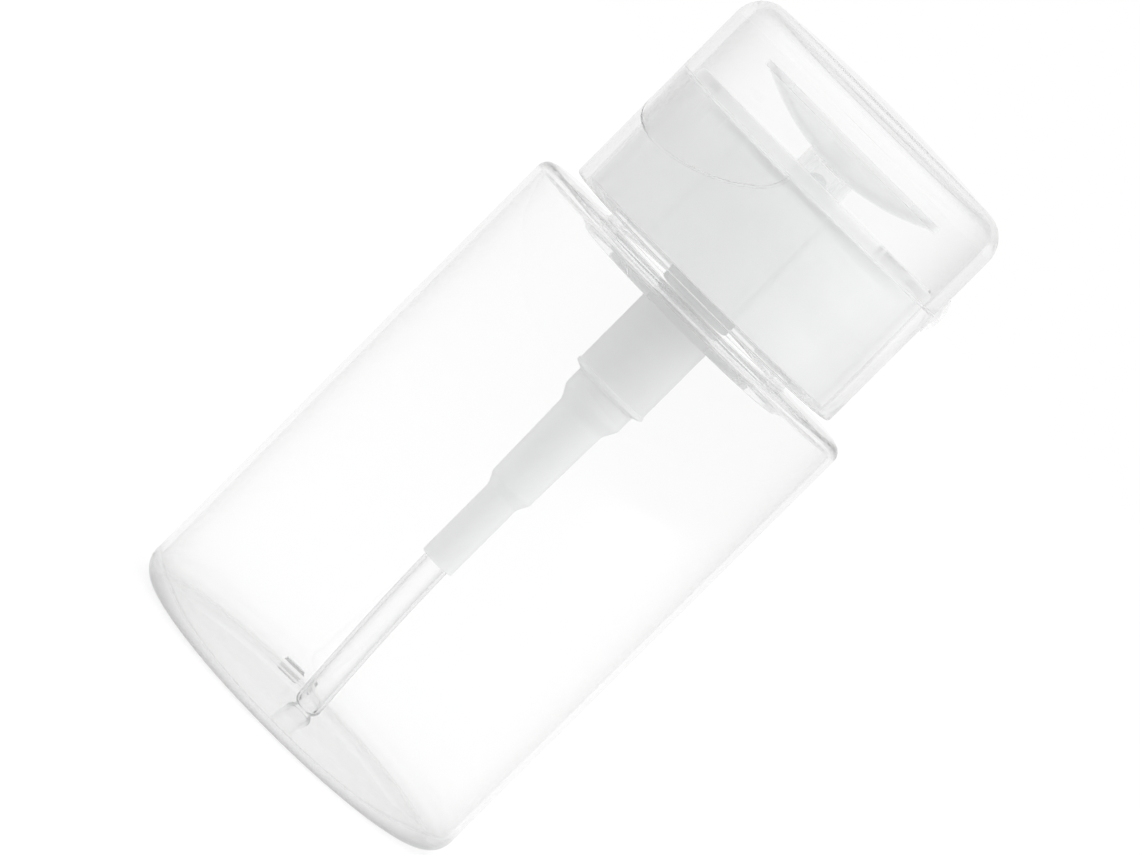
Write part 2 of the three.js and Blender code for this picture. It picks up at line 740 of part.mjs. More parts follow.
// Inverted cup with a recessed deck, joined to the collar by ribs inside its wall
function deckShell() {
  const recessWall = rimInnerRadius + shellWall;
  const outline = [
    [shellRadius, collarBottom],
    [shellRadius, rimTop, shellEdgeRadius],
    [rimInnerRadius, rimTop, shellEdgeRadius],
    [rimInnerRadius, deckTop],
    [sleeveRadius + 2 * seatGap, deckTop],
    [sleeveRadius + 2 * seatGap, deckBottom],
    [recessWall, deckBottom],
    [recessWall, rimTop - shellWall],
    [shellRadius - shellWall, rimTop - shellWall],
    [shellRadius - shellWall, collarBottom],
  ];
  const ribInner = collarRadius + fitGap;
  const ribOuter = shellRadius - shellWall / 2;
  const ribTop = rimTop - shellWall / 2;
  const rib = box(ribOuter - ribInner, shellRibWidth, ribTop - collarBottom, (ribOuter + ribInner) / 2, 0, 0)
    .translate(0, 0, (ribTop + collarBottom) / 2);
  const ribs = Array.from({ length: shellRibCount }, (_, index) =>
    solid(rib.clone().rotateZ((2 * Math.PI * (index + 1 / 2)) / shellRibCount)),
  );
  return geometryOf(ribs.reduce((body, part) => body.add(part), solid(lathe(outline, capSides))));
}

// Tool with the outline of the thumb tab, grown by a margin. Its sides run straight at the axis,
// so that they meet the skirt's wall squarely.
function tabTool(margin, topHeight) {
  const outline = new THREE.Shape();
  outline.absellipse(0, 0, tabHalfWidth + margin, tabDepth + margin, Math.PI, 2 * Math.PI);
  outline.lineTo(tabHalfWidth + margin, topHeight);
  outline.lineTo(-tabHalfWidth - margin, topHeight);
  const tool = new THREE.ExtrudeGeometry(outline, {
    depth: skirtRadius,
    bevelEnabled: false,
    curveSegments: ballSides,
  });
  const points = tool.getAttribute('position');
  for (let index = 0; index < points.count; index += 1) {
    const turn = Math.asin(points.getX(index) / skirtRadius);
    const reach = skirtRadius / 2 + points.getZ(index);
    const height = partingHeight + points.getY(index);
    points.setXYZ(index, reach * Math.sin(turn), -reach * Math.cos(turn), height);
  }
  return tool;
}

// Adds the hinge's flat pad to a wall, between two heights: the wall is filled out to a straight face,
// and whatever stands proud of that face is trimmed.
function withHingePad(wall, bottom, top) {
  const depth = skirtWall * 3;
  const centre = (bottom + top) / 2;
  const pad = solid(box(strapWidth, depth, top - bottom, 0, padFace - depth / 2, centre))
    .subtract(solid(ring(0, skirtRadius - skirtWall / 2, bottom - cutOverrun, top + cutOverrun, capSides)));
  const trim = box(strapWidth + 2 * runGap, cutOverrun, strapHeight + 2 * seatGap, 0, 0, partingHeight)
    .translate(0, padFace + cutOverrun / 2, 0);
  return wall.add(pad).subtract(solid(trim));
}

// The lid's thumb tab lies in a shallow recess in the skirt's outside
function skirt() {
  const top = partingHeight - partingGap / 2;
  const outline = [
    [skirtBoreRadius, skirtBottom],
    [skirtRadius, skirtBottom, skirtEdgeRadius],
    [skirtRadius, top],
    [skirtBoreRadius, top],
  ];
  const behind = ring(0, skirtRadius - tabThickness - seatGap, skirtBottom - cutOverrun, top + cutOverrun, capSides);
  const recess = solid(tabTool(partingGap, cutOverrun)).subtract(solid(behind));
  const wall = solid(lathe(outline, capSides)).subtract(recess);
  return geometryOf(withHingePad(wall, partingHeight - strapHeight / 2, top));
}

function lid() {
  const bottom = partingHeight + partingGap / 2;
  const cornerHeight = lidTop - lidDome;
  const topRadius = skirtRadius - lidCornerRadius;
  const outline = [
    ...dome(lidTop, topRadius, lidDome),
    [skirtRadius, cornerHeight, lidCornerRadius],
    [skirtRadius, bottom],
    [skirtBoreRadius, bottom],
    [skirtBoreRadius, cornerHeight - lidTopThickness, lidCornerRadius - skirtWall],
    ...dome(lidTop - lidTopThickness, topRadius, lidDome).reverse(),
  ];
  const tabRing = ring(skirtRadius - tabThickness, skirtRadius, skirtBottom, bottom + skirtWall, capSides);
  const tab = solid(tabRing).intersect(solid(tabTool(0, skirtWall)));
  const body = solid(lathe(outline, capSides)).add(tab);
  return geometryOf(withHingePad(body, bottom, partingHeight + strapHeight / 2));
}

// Bowed strap across the parting line: flat feet on the two pads, and a free bow between them
function hingeStrap() {
  const foot = padFace + seatGap;
  const half = strapHeight / 2;
  const bowHalf = half - strapFoot;
  const outer = new THREE.QuadraticBezierCurve(
    new THREE.Vector2(foot, -half),
    new THREE.Vector2(foot + 2 * strapBulge, 0),
    new THREE.Vector2(foot, half),
  );
  const inner = new THREE.QuadraticBezierCurve(
    new THREE.Vector2(foot, bowHalf),
    new THREE.Vector2(foot + 2 * (strapBulge - strapThickness), 0),
    new THREE.Vector2(foot, -bowHalf),
  );
  const outline = new THREE.Shape([...outer.getPoints(2 * domeSteps), ...inner.getPoints(domeSteps)]);
  return new THREE.ExtrudeGeometry(outline, { depth: strapWidth, bevelEnabled: false })
    .translate(0, 0, -strapWidth / 2)
    .rotateX(Math.PI / 2)
    .rotateZ(Math.PI / 2)
    .translate(0, 0, partingHeight);
}

add('bottle', bottle(), clearPlastic());
add('neck_gasket', ring(gasketBoreRadius, gasketRadius, gasketBottom, gasketTop, capSides), sealPlastic());
add('pump_housing', housing(), whitePlastic());
add('inlet_ball', ball(inletBallRadius, inletSeatRadius, inletSeatHeight), glass());
add('ball_stop', ballStop(), whitePlastic());
add('dip_tube', dipTube(), clearPlastic());
add('stem_guide', stemGuide(), whitePlastic());
add('stem_seal', stemSeal(), sealPlastic());
add('return_spring', returnSpring(), springSteel());
add('piston', piston(), sealPlastic());
add('piston_rod', rod(), whitePlastic());
add('pump_stem', stem(), whitePlastic());
add('outlet_ball', ball(outletBallRadius, outletSeatRadius, outletSeatHeight), glass());
add('press_dish', dish(), whitePlastic());
add('outlet_hub', hub(), whitePlastic());
add('threaded_collar', collar(), whitePlastic());
add('deck_shell', deckShell(), whitePlastic());
add('outer_skirt', skirt(), clearPlastic());
add('hinge_strap', hingeStrap(), clearPlastic());
add('flip_lid', lid(), clearPlastic());

export default group;
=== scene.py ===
# Push-down pump bottle: clear bottle, white pump with a press dish, clear skirt and clear flip lid.
# Lengths in the outlines are millimetres, turned to metres when a piece is finished.
# +Z up, the lid's thumb tab towards -Y and its hinge towards +Y.
import math

import bmesh
import bpy
from mathutils import Matrix, Vector


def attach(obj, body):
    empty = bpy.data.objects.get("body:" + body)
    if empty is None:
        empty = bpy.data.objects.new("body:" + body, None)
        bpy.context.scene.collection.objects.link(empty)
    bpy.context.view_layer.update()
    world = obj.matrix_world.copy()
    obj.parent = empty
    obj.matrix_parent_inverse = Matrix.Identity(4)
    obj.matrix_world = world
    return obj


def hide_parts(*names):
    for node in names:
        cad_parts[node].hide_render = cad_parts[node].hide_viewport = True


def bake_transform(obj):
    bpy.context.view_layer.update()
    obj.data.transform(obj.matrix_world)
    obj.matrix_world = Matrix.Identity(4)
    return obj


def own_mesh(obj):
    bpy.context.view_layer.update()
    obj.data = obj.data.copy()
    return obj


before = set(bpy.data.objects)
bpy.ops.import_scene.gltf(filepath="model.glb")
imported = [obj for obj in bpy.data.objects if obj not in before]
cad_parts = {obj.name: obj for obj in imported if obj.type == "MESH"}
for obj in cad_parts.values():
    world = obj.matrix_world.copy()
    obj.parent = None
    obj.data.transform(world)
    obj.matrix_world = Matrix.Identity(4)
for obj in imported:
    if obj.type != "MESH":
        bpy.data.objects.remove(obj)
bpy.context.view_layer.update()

MM = 0.001
WHOLE_TURN = 2 * math.pi
UP = Vector((0, 0, 1))
CENTRE = Vector((0, 0, 0))

# How finely round pieces are made
WALL_SIDES = 320  # bottle, lid and skirt
CAP_SIDES = 144  # closure and dish
PUMP_SIDES = 72  # housing and what is in it
CORNER_STEPS = 6
DOME_STEPS = 10
THREAD_STEPS = 48  # a turn

# Heights and radii shared by several pieces
PARTING = 91.9
PARTING_GAP = 0.3
SKIRT_OUTER, SKIRT_INNER = 22.0, 20.5
SHOULDER = 72.1
BOTTLE_RADIUS = 26.0
HEEL = 3.0
COLLAR_FOOT = 74.6
TAB_HALF_WIDTH, TAB_DEPTH, TAB_RISE = 15.9, 8.65, 1.5
HINGE_PAD_REACH = 2.7  # from the parting line
PITCH = 4.23
THREAD_TURNS = 1.5
THREAD_START = SHOULDER + 4.4
THREAD_DEPTH, THREAD_SET = 1, 0.35  # how far a ridge stands out of its wall and is set into it


# Camera

CAMERA_AZIMUTH = math.radians(54)
CAMERA_DISTANCE = 0.705
CAMERA_HEIGHT = 0.1035
CAMERA_AIM = Vector((0, 0, 0.05))
CAMERA_ROLL = math.radians(45)
CAMERA_LENS = 179.5
SENSOR_WIDTH = 36
PICTURE_SHIFT = 0.0015  # moves the bottle down a little in the picture


def place_camera():
    """Level with the lid, rolled so that the bottle's base lies at the picture's lower left."""
    camera = bpy.data.objects.new("camera", bpy.data.cameras.new("camera"))
    bpy.context.scene.collection.objects.link(camera)
    place = Vector((math.sin(CAMERA_AZIMUTH), -math.cos(CAMERA_AZIMUTH), 0)) * CAMERA_DISTANCE
    place.z = CAMERA_HEIGHT
    back = (place - CAMERA_AIM).normalized()
    right = UP.cross(back).normalized()
    above = back.cross(right)
    turn = Matrix((right, above, back)).transposed() @ Matrix.Rotation(CAMERA_ROLL, 3, "Z")
    camera.matrix_world = Matrix.Translation(place) @ turn.to_4x4()
    camera.data.lens = CAMERA_LENS
    camera.data.sensor_width = SENSOR_WIDTH
    camera.data.shift_y = PICTURE_SHIFT
    camera.data.clip_start = 0.01
    camera.data.clip_end = 20
    bpy.context.scene.camera = camera


place_camera()


# Mesh helpers

def finish_piece(name, bm, body, nodes, material, smooth_degrees=32):
    """Turns a finished bmesh in millimetres into a shown piece in metres that rides on its body."""
    bmesh.ops.scale(bm, vec=(MM, MM, MM), verts=bm.verts)
    mesh = bpy.data.meshes.new(name)
    bm.to_mesh(mesh)
    bm.free()
    mesh.shade_smooth()
    mesh.set_sharp_from_angle(angle=math.radians(smooth_degrees))
    mesh.materials.append(material)
    piece = bpy.data.objects.new(f"{name}_form", mesh)
    bpy.context.scene.collection.objects.link(piece)
    if body:
        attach(piece, body)
    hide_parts(*nodes)
    return piece


def round_corner(bm, vert, radius, steps):
    """Rounds one corner of a flat outline with an arc of the given radius."""
    first, second = [edge.other_vert(vert).co - vert.co for edge in vert.link_edges]
    reach = radius / math.tan(first.angle(second) / 2)
    bmesh.ops.bevel(
        bm, geom=[vert], offset=reach, offset_type="OFFSET", affect="VERTICES",
        segments=steps, profile=0.5, material=-1, clamp_overlap=True,
    )


def flat_outline(bm, corners, place, steps=CORNER_STEPS):
    """A face from (x, y) or (x, y, corner radius), each put in space by place."""
    verts = [bm.verts.new(place(corner[0], corner[1])) for corner in corners]
    bm.faces.new(verts)
    for vert, corner in zip(verts, corners):
        if len(corner) == 3:
            round_corner(bm, vert, corner[2], steps)


def turned(corners, sides, steps=CORNER_STEPS):
    """A closed solid turned about the axis from (radius, height) or (radius, height, corner radius)."""
    bm = bmesh.new()
    flat_outline(bm, corners, lambda radius, height: (radius, 0, height), steps)
    bmesh.ops.delete(bm, geom=list(bm.faces), context="FACES_ONLY")
    on_axis = [edge for edge in bm.edges if all(abs(vert.co.x) < MM for vert in edge.verts)]
    bmesh.ops.delete(bm, geom=on_axis, context="EDGES")
    bmesh.ops.spin(
        bm, geom=[*bm.verts, *bm.edges], cent=CENTRE, axis=UP, angle=WHOLE_TURN,
        steps=sides, use_merge=True,
    )
    bmesh.ops.remove_doubles(bm, verts=bm.verts, dist=1e-4)
    bmesh.ops.recalc_face_normals(bm, faces=bm.faces)
    return bm


def ring(inner, outer, bottom, top, sides, edge=0.0):
    """A plain ring with its four edges eased."""
    corners = [(inner, bottom, edge), (outer, bottom, edge), (outer, top, edge), (inner, top, edge)]
    return turned(corners if edge else [corner[:2] for corner in corners], sides, 2)


def dome(apex, radius, fall, share_from=0.0):
    """Outline of a shallow dome, from its apex out to the radius where it has fallen by fall."""
    shares = [share_from + (1 - share_from) * step / DOME_STEPS for step in range(DOME_STEPS + 1)]
    return [(radius * share, apex - fall * share * share) for share in shares]


def bowl(lowest, sphere, near, far):
    """Outline of a spherical bowl between two distances from the axis."""
    radii = [near + (far - near) * step / DOME_STEPS for step in range(DOME_STEPS + 1)]
    return [(radius, lowest + sphere - math.sqrt(sphere ** 2 - radius ** 2)) for radius in radii]


def block(width, depth, height, centre, turn=0.0):
    """A box as a cutter or a rib, turned about the axis after it is put in place."""
    bm = bmesh.new()
    bmesh.ops.create_cube(bm, size=1)
    bmesh.ops.scale(bm, vec=(width, depth, height), verts=bm.verts)
    bmesh.ops.translate(bm, vec=centre, verts=bm.verts)
    bmesh.ops.rotate(bm, cent=CENTRE, matrix=Matrix.Rotation(turn, 3, "Z"), verts=bm.verts)
    return bm


def drill(radius, length, centre, turn=0.0):
    """A round cutter that lies along X."""
    bm = bmesh.new()
    bmesh.ops.create_cone(
        bm, cap_ends=True, segments=24, radius1=radius, radius2=radius, depth=length,
        matrix=Matrix.Translation(centre) @ Matrix.Rotation(math.pi / 2, 4, "Y"),
    )
    bmesh.ops.rotate(bm, cent=CENTRE, matrix=Matrix.Rotation(turn, 3, "Z"), verts=bm.verts)
    return bm


def combined(body, others, operation):
    """Joins closed bodies to one ("UNION"), cuts them out of it ("DIFFERENCE") or keeps what they share."""
    def holder(bm):
        mesh = bpy.data.meshes.new("work")
        bm.to_mesh(mesh)
        bm.free()
        held = bpy.data.objects.new("work", mesh)
        bpy.context.scene.collection.objects.link(held)
        return held

    whole = holder(body)
    helpers = [holder(other) for other in others]
    for helper in helpers:
        step = whole.modifiers.new("work", "BOOLEAN")
        step.object = helper
        step.operation = operation
        step.solver = "MANIFOLD"
    result = bmesh.new()
    result.from_mesh(whole.evaluated_get(bpy.context.evaluated_depsgraph_get()).to_mesh())
    for used in [whole, *helpers]:
        mesh = used.data
        bpy.data.objects.remove(used)
        bpy.data.meshes.remove(mesh)
    return result


def thread_ridge(root, crest, start):
    """One and a half turns of a screw thread, faded out at both ends."""
    steps = round(THREAD_TURNS * THREAD_STEPS)
    half_root, half_crest, edge = 0.85, 0.4, 0.12
    section = [(root, -half_root), (crest, -half_crest, edge), (crest, half_crest, edge), (root, half_root)]
    bm = bmesh.new()
    flat_outline(bm, section, lambda radius, height: (radius, 0, start + height), 2)
    bmesh.ops.spin(
        bm, geom=[*bm.verts, *bm.edges, *bm.faces], cent=CENTRE, axis=UP,
        angle=THREAD_TURNS * WHOLE_TURN, steps=steps, dvec=(0, 0, THREAD_TURNS * PITCH / steps),
    )
    fade, least = WHOLE_TURN / 8, 0.2
    for vert in bm.verts:
        rise = (vert.co.z - start) / PITCH
        nearest = math.atan2(vert.co.y, vert.co.x) / WHOLE_TURN
        turns = nearest + round(rise - nearest)
        left = min(turns, THREAD_TURNS - turns) * WHOLE_TURN / fade
        share = max(least, min(1, left))
        radius = math.hypot(vert.co.x, vert.co.y)
        wanted = root + (radius - root) * math.sin(share * math.pi / 2)
        vert.co.x *= wanted / radius
        vert.co.y *= wanted / radius
    bmesh.ops.recalc_face_normals(bm, faces=bm.faces)
    return bm


def tab_tool(margin, top):
    """Closed tool with the thumb tab's outline, grown by a margin. Its sides run straight at the axis."""
    half, depth = TAB_HALF_WIDTH + margin, TAB_DEPTH + margin
    near, far = 12, 40
    bm = bmesh.new()
    made = bmesh.ops.create_circle(bm, cap_ends=True, segments=128, radius=1)
    bmesh.ops.scale(bm, vec=(half, depth, 1), verts=made["verts"])
    for vert in bm.verts:
        if vert.co.y > 1e-3:
            vert.co.y = top
    bmesh.ops.rotate(bm, cent=CENTRE, matrix=Matrix.Rotation(math.pi / 2, 3, "X"), verts=bm.verts)
    bmesh.ops.translate(bm, vec=(0, 0, PARTING), verts=bm.verts)
    pulled = bmesh.ops.extrude_face_region(bm, geom=list(bm.faces))
    moved = [item for item in pulled["geom"] if isinstance(item, bmesh.types.BMVert)]
    bmesh.ops.translate(bm, vec=(0, -1, 0), verts=moved)
    for vert in bm.verts:
        turn = math.asin(vert.co.x / SKIRT_OUTER)
        reach = near if vert.co.y > -0.5 else far
        vert.co.x, vert.co.y = reach * math.sin(turn), -reach * math.cos(turn)
    bmesh.ops.recalc_face_normals(bm, faces=bm.faces)
    return bm


def with_hinge_pad(wall, bottom, top):
    """Fills the wall out to the hinge's flat pad and trims what stands proud of it."""
    face, depth, width = 21.8, 4.5, 15.6
    core_radius, clear = 21.25, 1
    trim_width, trim_height, trim_depth = 16.2, 5.8, 2
    pad = block(width, depth, top - bottom, (0, face - depth / 2, (top + bottom) / 2))
    low, high = bottom - clear, top + clear
    core = turned([(0, low), (core_radius, low), (core_radius, high), (0, high)], WALL_SIDES)
    pad = combined(pad, [core], "DIFFERENCE")
    trim = block(trim_width, trim_depth, trim_height, (0, face + trim_depth / 2, PARTING))
    return combined(combined(wall, [pad], "UNION"), [trim], "DIFFERENCE")


# Finishes

def material_tree(name):
    """A new material with an empty node tree."""
    material = bpy.data.materials.new(name)
    material.use_nodes = True
    nodes = material.node_tree.nodes
    nodes.clear()
    return material, nodes, material.node_tree.links


def maths(nodes, links, operation, first, second=0.0):
    """A Math node; numbers go on its sockets, anything else is linked."""
    node = nodes.new("ShaderNodeMath")
    node.operation = operation
    for socket, value in zip(node.inputs, (first, second)):
        if isinstance(value, (int, float)):
            socket.default_value = value
        else:
            links.new(value, socket)
    return node.outputs[0]


def mixed(nodes, links, share, first, second):
    """A Mix Shader node; the share may be a number or a socket."""
    node = nodes.new("ShaderNodeMixShader")
    if isinstance(share, (int, float)):
        node.inputs["Fac"].default_value = share
    else:
        links.new(share, node.inputs["Fac"])
    links.new(first.outputs[0], node.inputs[1])
    links.new(second.outputs[0], node.inputs[2])
    return node


def see_through(nodes):
    """A Transparent shader that lets everything through."""
    node = nodes.new("ShaderNodeBsdfTransparent")
    node.inputs["Color"].default_value = (1, 1, 1, 1)
    return node


def finish_material(nodes, links, surface, tint, density):
    """Puts the surface and an absorbing inside on the material's output."""
    depth = nodes.new("ShaderNodeVolumeAbsorption")
    depth.inputs["Color"].default_value = (*tint, 1)
    depth.inputs["Density"].default_value = density
    out = nodes.new("ShaderNodeOutputMaterial")
    links.new(surface.outputs[0], out.inputs["Surface"])
    links.new(depth.outputs[0], out.inputs["Volume"])


def moulded_surface():
    """Shader group for what moulding leaves: slow changes of colour and satin, and fine handling marks."""
    group = bpy.data.node_groups.new("moulded surface", "ShaderNodeTree")
    face = group.interface
    for name, kind, value in (
        ("Color", "NodeSocketColor", (1, 1, 1, 1)),
        ("Color Spread", "NodeSocketFloat", 0.02),
        ("Roughness", "NodeSocketFloat", 0.3),
        ("Roughness Spread", "NodeSocketFloat", 0.05),
        ("Flow Scale", "NodeSocketFloat", 60.0),
        ("Grain Scale", "NodeSocketFloat", 900.0),
        ("Grain Share", "NodeSocketFloat", 0.3),
    ):
        socket = face.new_socket(name=name, in_out="INPUT", socket_type=kind)
        socket.default_value = value
    for name, kind in (
        ("Color", "NodeSocketColor"), ("Roughness", "NodeSocketFloat"), ("Height", "NodeSocketFloat"),
    ):
        face.new_socket(name=name, in_out="OUTPUT", socket_type=kind)
    nodes, links = group.nodes, group.links
    given = nodes.new("NodeGroupInput")
    put_out = nodes.new("NodeGroupOutput")
    place = nodes.new("ShaderNodeTexCoord")
    stretch = nodes.new("ShaderNodeMapping")
    stretch.inputs["Scale"].default_value = (1, 1, 0.35)  # longer along the axis, as melt flows
    links.new(place.outputs["Object"], stretch.inputs["Vector"])

    flow = nodes.new("ShaderNodeTexNoise")
    flow.inputs["Detail"].default_value = 3
    links.new(stretch.outputs["Vector"], flow.inputs["Vector"])
    links.new(given.outputs["Flow Scale"], flow.inputs["Scale"])

    grain = nodes.new("ShaderNodeTexNoise")
    grain.inputs["Detail"].default_value = 2
    links.new(place.outputs["Object"], grain.inputs["Vector"])
    links.new(given.outputs["Grain Scale"], grain.inputs["Scale"])

    def worked(operation, first, second):
        return maths(nodes, links, operation, first, second)

    centred = worked("SUBTRACT", flow.outputs["Fac"], 0.5)
    shade = worked("ADD", worked("MULTIPLY", centred, given.outputs["Color Spread"]), 1.0)
    tint = nodes.new("ShaderNodeVectorMath")
    tint.operation = "SCALE"
    links.new(given.outputs["Color"], tint.inputs[0])
    links.new(shade, tint.inputs["Scale"])
    links.new(tint.outputs[0], put_out.inputs["Color"])

    both = worked("ADD", centred, worked("SUBTRACT", grain.outputs["Fac"], 0.5))
    spread = worked("MULTIPLY", both, given.outputs["Roughness Spread"])
    links.new(worked("ADD", given.outputs["Roughness"], spread), put_out.inputs["Roughness"])

    fine = worked("MULTIPLY", grain.outputs["Fac"], given.outputs["Grain Share"])
    links.new(worked("ADD", flow.outputs["Fac"], fine), put_out.inputs["Height"])
    return group


MOULDED = moulded_surface()


def moulded_principled(
    nodes, links, color, color_spread, roughness, roughness_spread, flow, grain, bump, grain_share=0.3,
):
    """Principled shader driven by the moulded surface group, with its bump."""
    surface = nodes.new("ShaderNodeGroup")
    surface.node_tree = MOULDED
    for name, value in (
        ("Color", (*color, 1)), ("Color Spread", color_spread), ("Roughness", roughness),
        ("Roughness Spread", roughness_spread), ("Flow Scale", flow), ("Grain Scale", grain),
        ("Grain Share", grain_share),
    ):
        surface.inputs[name].default_value = value
    shader = nodes.new("ShaderNodeBsdfPrincipled")
    links.new(surface.outputs["Color"], shader.inputs["Base Color"])
    links.new(surface.outputs["Roughness"], shader.inputs["Roughness"])
    relief = nodes.new("ShaderNodeBump")
    relief.inputs["Strength"].default_value = 1
    relief.inputs["Distance"].default_value = bump
    links.new(surface.outputs["Height"], relief.inputs["Height"])
    links.new(relief.outputs["Normal"], shader.inputs["Normal"])
    return shader, surface


# Painted shade on the bottle's foot: the outside of the heel and the faces of the index notch are darkened
# in colour, standing in for the shaded floor under the bottle seen through them.
HEEL_SPREAD = 1.5  # more keeps the heel's shade nearer to its seen edges
HEEL_FADE = 2 * HEEL  # height at which the heel's shade has gone
NOTCH_SHADE = 0.5
OUTER_FACE, INNER_FACE = 0.985, 0.8  # shares of the heel's radius that tell its faces apart
NOTCH_HEIGHT = 0.4 * HEEL


def painted_heel_and_notch_shade(nodes, links):
    """Two masks for painted shade: the outside of the bottle's heel, fading upwards, and the faces of its
    index notch.
    """
    def worked(operation, first, second):
        return maths(nodes, links, operation, first, second)

    place = nodes.new("ShaderNodeTexCoord")
    point = nodes.new("ShaderNodeSeparateXYZ")
    links.new(place.outputs["Object"], point.inputs[0])
    flat = nodes.new("ShaderNodeCombineXYZ")
    links.new(point.outputs["X"], flat.inputs["X"])
    links.new(point.outputs["Y"], flat.inputs["Y"])
    from_axis = nodes.new("ShaderNodeVectorMath")
    from_axis.operation = "LENGTH"
    links.new(flat.outputs[0], from_axis.inputs[0])
    out = worked("SUBTRACT", from_axis.outputs["Value"], (BOTTLE_RADIUS - HEEL) * MM)
    down = worked("SUBTRACT", HEEL * MM, point.outputs["Z"])
    arc = nodes.new("ShaderNodeCombineXYZ")
    links.new(worked("MAXIMUM", out, 0.0), arc.inputs["X"])
    links.new(worked("MAXIMUM", down, 0.0), arc.inputs["Y"])
    from_arc = nodes.new("ShaderNodeVectorMath")
    from_arc.operation = "LENGTH"
    links.new(arc.outputs[0], from_arc.inputs[0])
    outside = worked("GREATER_THAN", from_arc.outputs["Value"], OUTER_FACE * HEEL * MM)
    cut = worked("GREATER_THAN", from_arc.outputs["Value"], INNER_FACE * HEEL * MM)
    low = worked("LESS_THAN", point.outputs["Z"], NOTCH_HEIGHT * MM)
    beyond = worked("GREATER_THAN", out, 0.0)
    fall = nodes.new("ShaderNodeMapRange")
    fall.interpolation_type = "SMOOTHSTEP"
    links.new(point.outputs["Z"], fall.inputs["Value"])
    for socket, value in (("From Min", 0), ("From Max", HEEL_FADE * MM), ("To Min", 1), ("To Max", 0)):
        fall.inputs[socket].default_value = value
    heel = worked("MULTIPLY", fall.outputs[0], worked("MULTIPLY", outside, beyond))
    within = worked("MULTIPLY", worked("SUBTRACT", cut, outside), low)
    return heel, worked("MULTIPLY", within, beyond)


def clear_plastic(
    name, ior, color, rim_shade, density, tint=(0, 0, 0), roughness=0.0, spread=2.5,
    heel_shade=0.0, loss=0.01, slant_loss=0.0,
):
    """Clear moulded plastic that lets light reach what is inside; its colour is darkened at a glancing angle
    as painted shade.
    """
    material, nodes, links = material_tree(name)

    def worked(operation, first, second):
        return maths(nodes, links, operation, first, second)

    shader, surface = moulded_principled(
        nodes, links, color, color_spread=0.0, roughness=roughness, roughness_spread=0.02,
        flow=45.0, grain=700.0, bump=0.5e-6, grain_share=0.1,
    )
    shader.inputs["IOR"].default_value = ior
    shader.inputs["Transmission Weight"].default_value = 1
    weight = nodes.new("ShaderNodeLayerWeight")
    weight.inputs["Blend"].default_value = 0.5
    facing = weight.outputs["Facing"]
    # Painted shade: the colour darkens at a glancing angle, standing in for the dark surroundings that clear
    # edges show.
    shade = worked("MULTIPLY", worked("POWER", facing, spread), rim_shade)
    # Painted shade on the heel's outside and the notch's faces, for the bottle only.
    if heel_shade:
        heel, notch = painted_heel_and_notch_shade(nodes, links)
        slant = worked("MULTIPLY", heel, worked("POWER", facing, HEEL_SPREAD))
        shade = worked("ADD", shade, worked("MULTIPLY", slant, heel_shade))
        shade = worked("ADD", shade, worked("MULTIPLY", notch, NOTCH_SHADE))
    share = worked("MAXIMUM", worked("SUBTRACT", 1.0, shade), 0.0)
    rim = nodes.new("ShaderNodeVectorMath")
    rim.operation = "SCALE"
    links.new(surface.outputs["Color"], rim.inputs[0])
    links.new(worked("POWER", share, 2.0), rim.inputs["Scale"])
    links.new(rim.outputs[0], shader.inputs["Base Color"])
    path = nodes.new("ShaderNodeLightPath")
    lighting = worked("MAXIMUM", path.outputs["Is Shadow Ray"], path.outputs["Is Diffuse Ray"])
    lit = see_through(nodes)
    steep = worked("MULTIPLY", worked("POWER", facing, 5.0), slant_loss)
    links.new(worked("SUBTRACT", 1.0 - loss, steep), lit.inputs["Color"])
    finish_material(nodes, links, mixed(nodes, links, lighting, shader, lit), tint, density)
    return material


def milky_plastic(name, color, roughness, clearness, glow, density=15.0):
    """White plastic thin enough to glow from behind and to show what is inside, less so at a slant."""
    material, nodes, links = material_tree(name)
    shader, surface = moulded_principled(
        nodes, links, color, color_spread=0.03, roughness=roughness, roughness_spread=0.1,
        flow=110.0, grain=1500.0, bump=1e-6,
    )
    shader.inputs["IOR"].default_value = 1.49
    behind = nodes.new("ShaderNodeBsdfTranslucent")
    links.new(surface.outputs["Color"], behind.inputs["Color"])
    milk = mixed(nodes, links, glow, shader, behind)
    weight = nodes.new("ShaderNodeLayerWeight")
    weight.inputs["Blend"].default_value = 0.5
    ahead = maths(nodes, links, "SUBTRACT", 1.04, weight.outputs["Facing"])
    slant = maths(nodes, links, "DIVIDE", 1.0, ahead)
    wall = mixed(nodes, links, maths(nodes, links, "POWER", clearness, slant), milk, see_through(nodes))
    geometry = nodes.new("ShaderNodeNewGeometry")
    whole = mixed(nodes, links, geometry.outputs["Backfacing"], wall, see_through(nodes))
    finish_material(nodes, links, whole, (0, 0, 0), density)
    return material


def drawn_steel(name):
    """Spring wire, with the fine lines that drawing leaves."""
    material, nodes, links = material_tree(name)
    shader, _ = moulded_principled(
        nodes, links, (0.6, 0.61, 0.62), color_spread=0.12, roughness=0.28, roughness_spread=0.15,
        flow=400.0, grain=4000.0, bump=8e-6, grain_share=0.6,
    )
    shader.inputs["Metallic"].default_value = 1
    out = nodes.new("ShaderNodeOutputMaterial")
    links.new(shader.outputs[0], out.inputs["Surface"])
    return material
